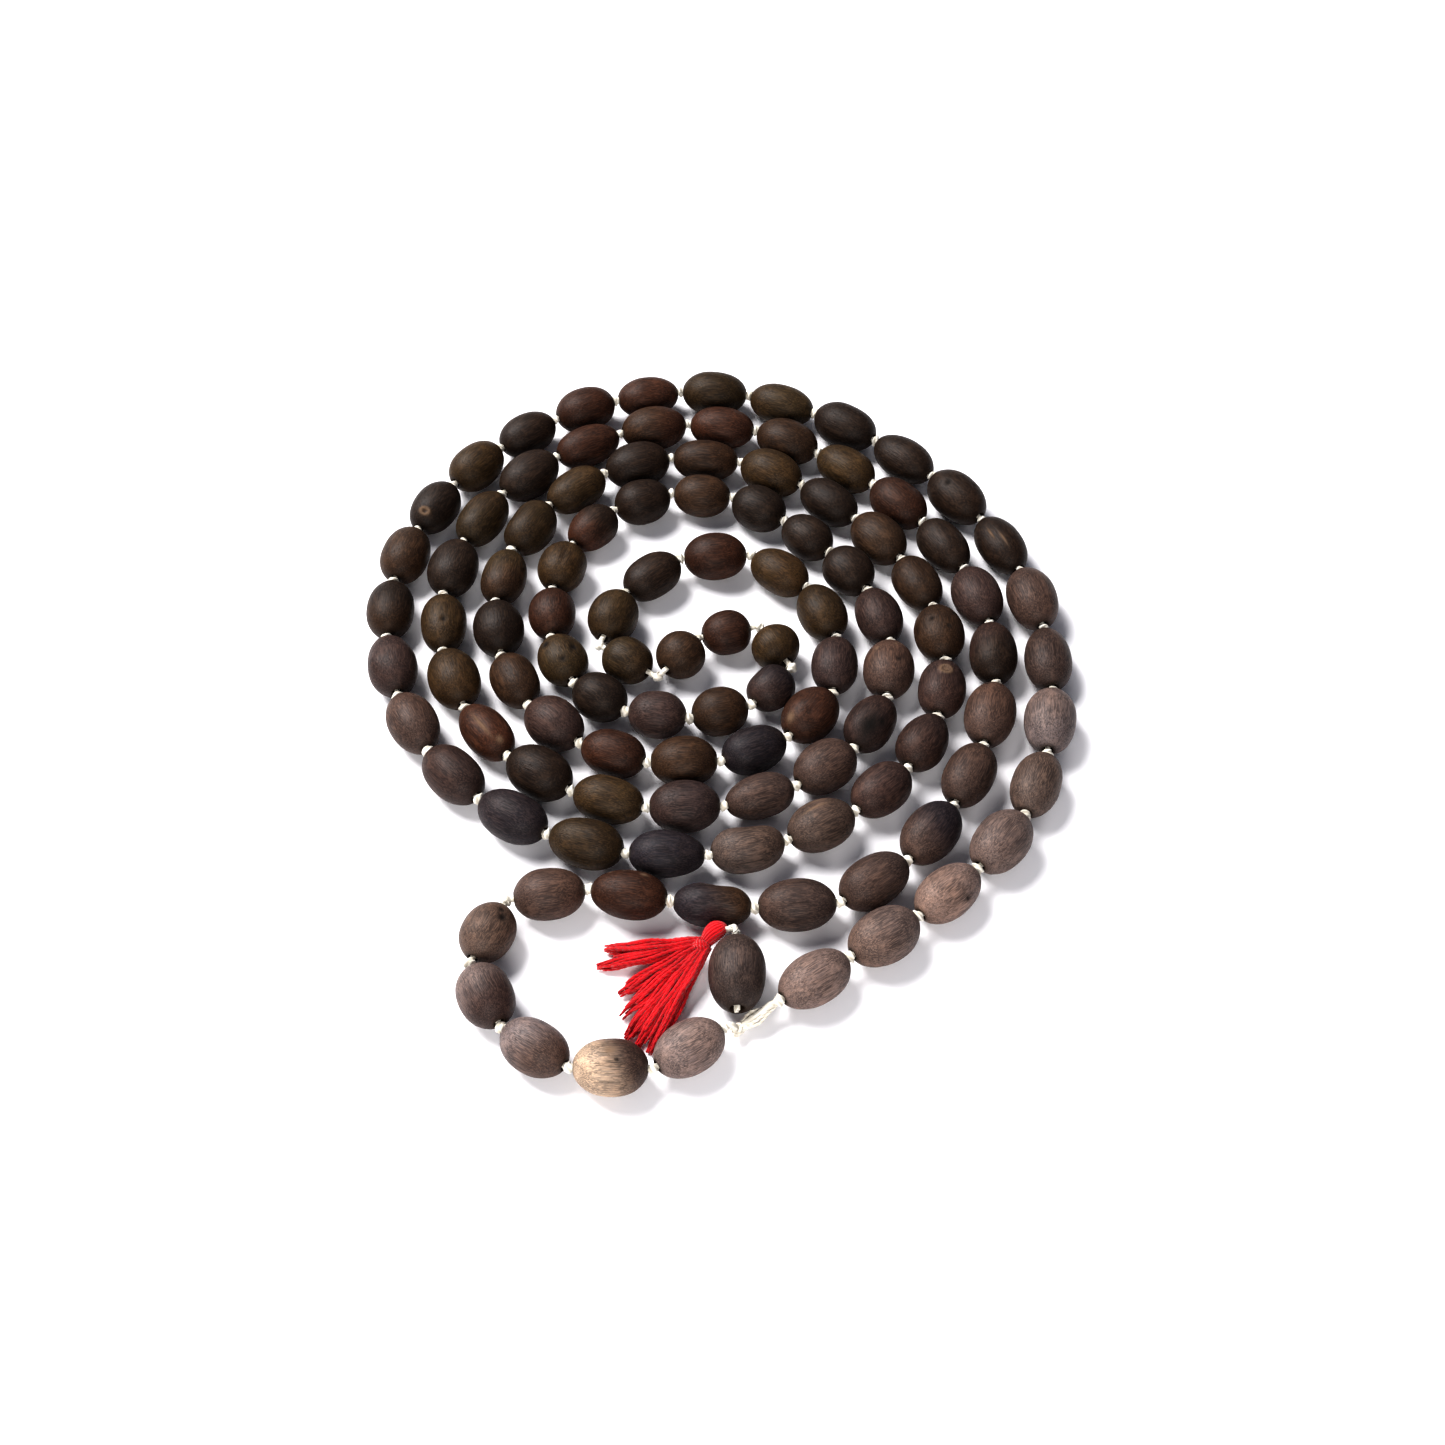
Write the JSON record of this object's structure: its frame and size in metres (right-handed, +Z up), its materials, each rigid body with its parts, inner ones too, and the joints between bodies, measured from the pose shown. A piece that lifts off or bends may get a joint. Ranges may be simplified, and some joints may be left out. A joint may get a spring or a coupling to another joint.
{
  "type": "mala prayer beads",
  "caption": "Closed loop of knotted lotus-seed prayer beads with a guru bead and a small red yarn tassel, wound into a flat coil; beads turn on the cord.",
  "frame": {"origin": "middle of the bounding box, on the level surface the mala lies on", "axes": "+Z up, out of the surface; +Y from the guru bead and tassel towards the far side of the coil; +X to the right, seen from above with the tassel nearest"},
  "size_m": [0.1554, 0.1961, 0.0114],
  "materials": {
    "lotus_seed_brown": "satin",
    "lotus_seed_olive": "satin",
    "lotus_seed_dark": "satin",
    "cream_cotton": "matte",
    "red_yarn": "matte"
  },
  "bodies": {
    "strand": {"cord": "cream_cotton", "bead_string_025_034": "lotus_seed_dark", "bead_string_035_044": "lotus_seed_brown", "bead_string_045_054": "lotus_seed_olive", "bead_string_055_064": "lotus_seed_dark", "bead_string_065_074": "lotus_seed_brown", "bead_string_075_084": "lotus_seed_olive", "tassel_loop": "cream_cotton"},
    "bead_001": {"bead_001": "lotus_seed_olive"},
    "bead_002": {"bead_002": "lotus_seed_dark"},
    "bead_003": {"bead_003": "lotus_seed_brown"},
    "bead_004": {"bead_004": "lotus_seed_olive"},
    "bead_005": {"bead_005": "lotus_seed_dark"},
    "bead_006": {"bead_006": "lotus_seed_brown"},
    "bead_007": {"bead_007": "lotus_seed_olive"},
    "bead_008": {"bead_008": "lotus_seed_dark"},
    "bead_009": {"bead_009": "lotus_seed_brown"},
    "bead_010": {"bead_010": "lotus_seed_olive"},
    "bead_011": {"bead_011": "lotus_seed_dark"},
    "bead_012": {"bead_012": "lotus_seed_brown"},
    "bead_013": {"bead_013": "lotus_seed_olive"},
    "bead_014": {"bead_014": "lotus_seed_dark"},
    "bead_015": {"bead_015": "lotus_seed_brown"},
    "bead_016": {"bead_016": "lotus_seed_olive"},
    "bead_017": {"bead_017": "lotus_seed_dark"},
    "bead_018": {"bead_018": "lotus_seed_brown"},
    "bead_019": {"bead_019": "lotus_seed_olive"},
    "bead_020": {"bead_020": "lotus_seed_dark"},
    "bead_021": {"bead_021": "lotus_seed_brown"},
    "bead_022": {"bead_022": "lotus_seed_olive"},
    "bead_023": {"bead_023": "lotus_seed_dark"},
    "bead_024": {"bead_024": "lotus_seed_brown"},
    "bead_085": {"bead_085": "lotus_seed_olive"},
    "bead_086": {"bead_086": "lotus_seed_dark"},
    "bead_087": {"bead_087": "lotus_seed_brown"},
    "bead_088": {"bead_088": "lotus_seed_olive"},
    "bead_089": {"bead_089": "lotus_seed_dark"},
    "bead_090": {"bead_090": "lotus_seed_brown"},
    "bead_091": {"bead_091": "lotus_seed_olive"},
    "bead_092": {"bead_092": "lotus_seed_dark"},
    "bead_093": {"bead_093": "lotus_seed_brown"},
    "bead_094": {"bead_094": "lotus_seed_olive"},
    "bead_095": {"bead_095": "lotus_seed_dark"},
    "bead_096": {"bead_096": "lotus_seed_brown"},
    "bead_097": {"bead_097": "lotus_seed_olive"},
    "bead_098": {"bead_098": "lotus_seed_dark"},
    "bead_099": {"bead_099": "lotus_seed_brown"},
    "bead_100": {"bead_100": "lotus_seed_olive"},
    "bead_101": {"bead_101": "lotus_seed_dark"},
    "bead_102": {"bead_102": "lotus_seed_brown"},
    "bead_103": {"bead_103": "lotus_seed_olive"},
    "bead_104": {"bead_104": "lotus_seed_dark"},
    "bead_105": {"bead_105": "lotus_seed_brown"},
    "bead_106": {"bead_106": "lotus_seed_olive"},
    "bead_107": {"bead_107": "lotus_seed_dark"},
    "bead_108": {"bead_108": "lotus_seed_brown"},
    "guru_bead": {"guru_bead": "lotus_seed_olive"},
    "tassel_top": {"tassel_head": "red_yarn", "tassel_binding": "red_yarn"},
    "tassel_skirt": {"tassel_skirt": "red_yarn"}
  },
  "joints": [
    {"name": "bead_001_turn", "type": "hinge", "parent": "strand", "child": "bead_001", "pos_m": [0.01929, -0.07354, 0.00496], "axis": [0.8219, 0.5697, 0], "continuous": true},
    {"name": "bead_002_turn", "type": "hinge", "parent": "strand", "child": "bead_002", "pos_m": [0.03316, -0.0641, 0.00526], "axis": [0.8313, 0.5559, 0], "continuous": true},
    {"name": "bead_003_turn", "type": "hinge", "parent": "strand", "child": "bead_003", "pos_m": [0.04643, -0.05382, 0.00493], "axis": [0.7469, 0.665, 0], "continuous": true},
    {"name": "bead_004_turn", "type": "hinge", "parent": "strand", "child": "bead_004", "pos_m": [0.05815, -0.04164, 0.00528], "axis": [0.6358, 0.7719, 0], "continuous": true},
    {"name": "bead_005_turn", "type": "hinge", "parent": "strand", "child": "bead_005", "pos_m": [0.06673, -0.02704, 0.00491], "axis": [0.3667, 0.9303, 0], "continuous": true},
    {"name": "bead_006_turn", "type": "hinge", "parent": "strand", "child": "bead_006", "pos_m": [0.07136, -0.0104, 0.00529], "axis": [0.1675, 0.9859, 0], "continuous": true},
    {"name": "bead_007_turn", "type": "hinge", "parent": "strand", "child": "bead_007", "pos_m": [0.07279, 0.00703, 0.0049], "axis": [-0.0034, 1, 0], "continuous": true},
    {"name": "bead_008_turn", "type": "hinge", "parent": "strand", "child": "bead_008", "pos_m": [0.071, 0.02456, 0.0053], "axis": [-0.198, 0.9802, 0], "continuous": true},
    {"name": "bead_009_turn", "type": "hinge", "parent": "strand", "child": "bead_009", "pos_m": [0.06554, 0.04136, 0.0049], "axis": [-0.4157, 0.9095, 0], "continuous": true},
    {"name": "bead_010_turn", "type": "hinge", "parent": "strand", "child": "bead_010", "pos_m": [0.05654, 0.05657, 0.0053], "axis": [-0.5974, 0.802, 0], "continuous": true},
    {"name": "bead_011_turn", "type": "hinge", "parent": "strand", "child": "bead_011", "pos_m": [0.04487, 0.06976, 0.0049], "axis": [-0.7238, 0.6901, 0], "continuous": true},
    {"name": "bead_012_turn", "type": "hinge", "parent": "strand", "child": "bead_012", "pos_m": [0.03129, 0.08072, 0.0053], "axis": [-0.8282, 0.5605, 0], "continuous": true},
    {"name": "bead_013_turn", "type": "hinge", "parent": "strand", "child": "bead_013", "pos_m": [0.01608, 0.08873, 0.0049], "axis": [-0.9311, 0.3648, 0], "continuous": true},
    {"name": "bead_014_turn", "type": "hinge", "parent": "strand", "child": "bead_014", "pos_m": [-0.00039, 0.09256, 0.00529], "axis": [-0.9966, 0.0821, 0], "continuous": true},
    {"name": "bead_015_turn", "type": "hinge", "parent": "strand", "child": "bead_015", "pos_m": [-0.01676, 0.09165, 0.00492], "axis": [-0.9799, -0.1995, 0], "continuous": true},
    {"name": "bead_016_turn", "type": "hinge", "parent": "strand", "child": "bead_016", "pos_m": [-0.03195, 0.08664, 0.00527], "axis": [-0.9061, -0.423, 0], "continuous": true},
    {"name": "bead_017_turn", "type": "hinge", "parent": "strand", "child": "bead_017", "pos_m": [-0.04558, 0.0783, 0.00494], "axis": [-0.789, -0.6144, 0], "continuous": true},
    {"name": "bead_018_turn", "type": "hinge", "parent": "strand", "child": "bead_018", "pos_m": [-0.057, 0.06705, 0.00525], "axis": [-0.627, -0.779, 0], "continuous": true},
    {"name": "bead_019_turn", "type": "hinge", "parent": "strand", "child": "bead_019", "pos_m": [-0.06563, 0.05337, 0.00497], "axis": [-0.434, -0.9009, 0], "continuous": true},
    {"name": "bead_020_turn", "type": "hinge", "parent": "strand", "child": "bead_020", "pos_m": [-0.07099, 0.03792, 0.00522], "axis": [-0.2182, -0.9759, 0], "continuous": true},
    {"name": "bead_021_turn", "type": "hinge", "parent": "strand", "child": "bead_021", "pos_m": [-0.07266, 0.02145, 0.005], "axis": [0.0162, -0.9999, 0], "continuous": true},
    {"name": "bead_022_turn", "type": "hinge", "parent": "strand", "child": "bead_022", "pos_m": [-0.07043, 0.00487, 0.00519], "axis": [0.2469, -0.969, 0], "continuous": true},
    {"name": "bead_023_turn", "type": "hinge", "parent": "strand", "child": "bead_023", "pos_m": [-0.06435, -0.01087, 0.00503], "axis": [0.4681, -0.8837, 0], "continuous": true},
    {"name": "bead_024_turn", "type": "hinge", "parent": "strand", "child": "bead_024", "pos_m": [-0.05455, -0.02464, 0.00515], "axis": [0.682, -0.7313, 0], "continuous": true},
    {"name": "bead_085_turn", "type": "hinge", "parent": "strand", "child": "bead_085", "pos_m": [-0.05424, 0.0499, 0.00493], "axis": [0.4499, 0.8931, 0], "continuous": true},
    {"name": "bead_086_turn", "type": "hinge", "parent": "strand", "child": "bead_086", "pos_m": [-0.0443, 0.06391, 0.00526], "axis": [0.6955, 0.7185, 0], "continuous": true},
    {"name": "bead_087_turn", "type": "hinge", "parent": "strand", "child": "bead_087", "pos_m": [-0.0308, 0.07422, 0.00496], "axis": [0.8773, 0.48, 0], "continuous": true},
    {"name": "bead_088_turn", "type": "hinge", "parent": "strand", "child": "bead_088", "pos_m": [-0.01505, 0.08002, 0.00523], "axis": [0.9793, 0.2022, 0], "continuous": true},
    {"name": "bead_089_turn", "type": "hinge", "parent": "strand", "child": "bead_089", "pos_m": [0.00147, 0.08053, 0.00499], "axis": [0.9896, -0.1436, 0], "continuous": true},
    {"name": "bead_090_turn", "type": "hinge", "parent": "strand", "child": "bead_090", "pos_m": [0.01713, 0.07552, 0.0052], "axis": [0.8892, -0.4576, 0], "continuous": true},
    {"name": "bead_091_turn", "type": "hinge", "parent": "strand", "child": "bead_091", "pos_m": [0.03088, 0.06638, 0.00502], "axis": [0.7664, -0.6424, 0], "continuous": true},
    {"name": "bead_092_turn", "type": "hinge", "parent": "strand", "child": "bead_092", "pos_m": [0.04271, 0.05472, 0.00516], "axis": [0.6534, -0.757, 0], "continuous": true},
    {"name": "bead_093_turn", "type": "hinge", "parent": "strand", "child": "bead_093", "pos_m": [0.05235, 0.04106, 0.00505], "axis": [0.4949, -0.869, 0], "continuous": true},
    {"name": "bead_094_turn", "type": "hinge", "parent": "strand", "child": "bead_094", "pos_m": [0.05873, 0.02548, 0.00513], "axis": [0.2591, -0.9659, 0], "continuous": true},
    {"name": "bead_095_turn", "type": "hinge", "parent": "strand", "child": "bead_095", "pos_m": [0.06089, 0.00859, 0.00509], "axis": [-0.0068, -1, 0], "continuous": true},
    {"name": "bead_096_turn", "type": "hinge", "parent": "strand", "child": "bead_096", "pos_m": [0.05875, -0.00855, 0.00509], "axis": [-0.2385, -0.9711, 0], "continuous": true},
    {"name": "bead_097_turn", "type": "hinge", "parent": "strand", "child": "bead_097", "pos_m": [0.05295, -0.02476, 0.00513], "axis": [-0.433, -0.9014, 0], "continuous": true},
    {"name": "bead_098_turn", "type": "hinge", "parent": "strand", "child": "bead_098", "pos_m": [0.04402, -0.03932, 0.00505], "axis": [-0.6066, -0.795, 0], "continuous": true},
    {"name": "bead_099_turn", "type": "hinge", "parent": "strand", "child": "bead_099", "pos_m": [0.03188, -0.05111, 0.00516], "axis": [-0.8133, -0.5819, 0], "continuous": true},
    {"name": "bead_100_turn", "type": "hinge", "parent": "strand", "child": "bead_100", "pos_m": [0.01635, -0.05671, 0.00502], "axis": [-0.9976, -0.0686, 0], "continuous": true},
    {"name": "bead_101_turn", "type": "hinge", "parent": "strand", "child": "bead_101", "pos_m": [-0.00045, -0.05643, 0.0046], "axis": [-0.9947, 0.1029, 0], "continuous": true},
    {"name": "bead_102_turn", "type": "hinge", "parent": "strand", "child": "bead_102", "pos_m": [-0.01701, -0.05427, 0.00498], "axis": [-0.9879, 0.1551, 0], "continuous": true},
    {"name": "bead_103_turn", "type": "hinge", "parent": "strand", "child": "bead_103", "pos_m": [-0.0329, -0.05431, 0.00523], "axis": [-0.9854, -0.17, 0], "continuous": true},
    {"name": "bead_104_turn", "type": "hinge", "parent": "strand", "child": "bead_104", "pos_m": [-0.04448, -0.06311, 0.00496], "axis": [-0.3894, -0.9211, 0], "continuous": true},
    {"name": "bead_105_turn", "type": "hinge", "parent": "strand", "child": "bead_105", "pos_m": [-0.04378, -0.07744, 0.00526], "axis": [0.4595, -0.8882, 0], "continuous": true},
    {"name": "bead_106_turn", "type": "hinge", "parent": "strand", "child": "bead_106", "pos_m": [-0.03377, -0.08838, 0.00493], "axis": [0.8391, -0.5439, 0], "continuous": true},
    {"name": "bead_107_turn", "type": "hinge", "parent": "strand", "child": "bead_107", "pos_m": [-0.01931, -0.09275, 0.00528], "axis": [0.9999, -0.0112, 0], "continuous": true},
    {"name": "bead_108_turn", "type": "hinge", "parent": "strand", "child": "bead_108", "pos_m": [-0.00469, -0.08845, 0.00491], "axis": [0.838, 0.5457, 0], "continuous": true},
    {"name": "guru_bead_turn", "type": "hinge", "parent": "strand", "child": "guru_bead", "pos_m": [0.00435, -0.07275, 0.0057], "axis": [0, 1, 0], "continuous": true},
    {"name": "tassel_lift", "type": "hinge", "parent": "strand", "child": "tassel_top", "pos_m": [0.0023, -0.06211, 0.0068], "axis": [-0.6293, 0.7771, 0], "range_deg": [0, 110]},
    {"name": "tassel_swing", "type": "hinge", "parent": "tassel_top", "child": "tassel_skirt", "pos_m": [-0.00252, -0.06601, 0.00454], "axis": [0, 0, 1], "range_deg": [-8, 2]}
  ]
}
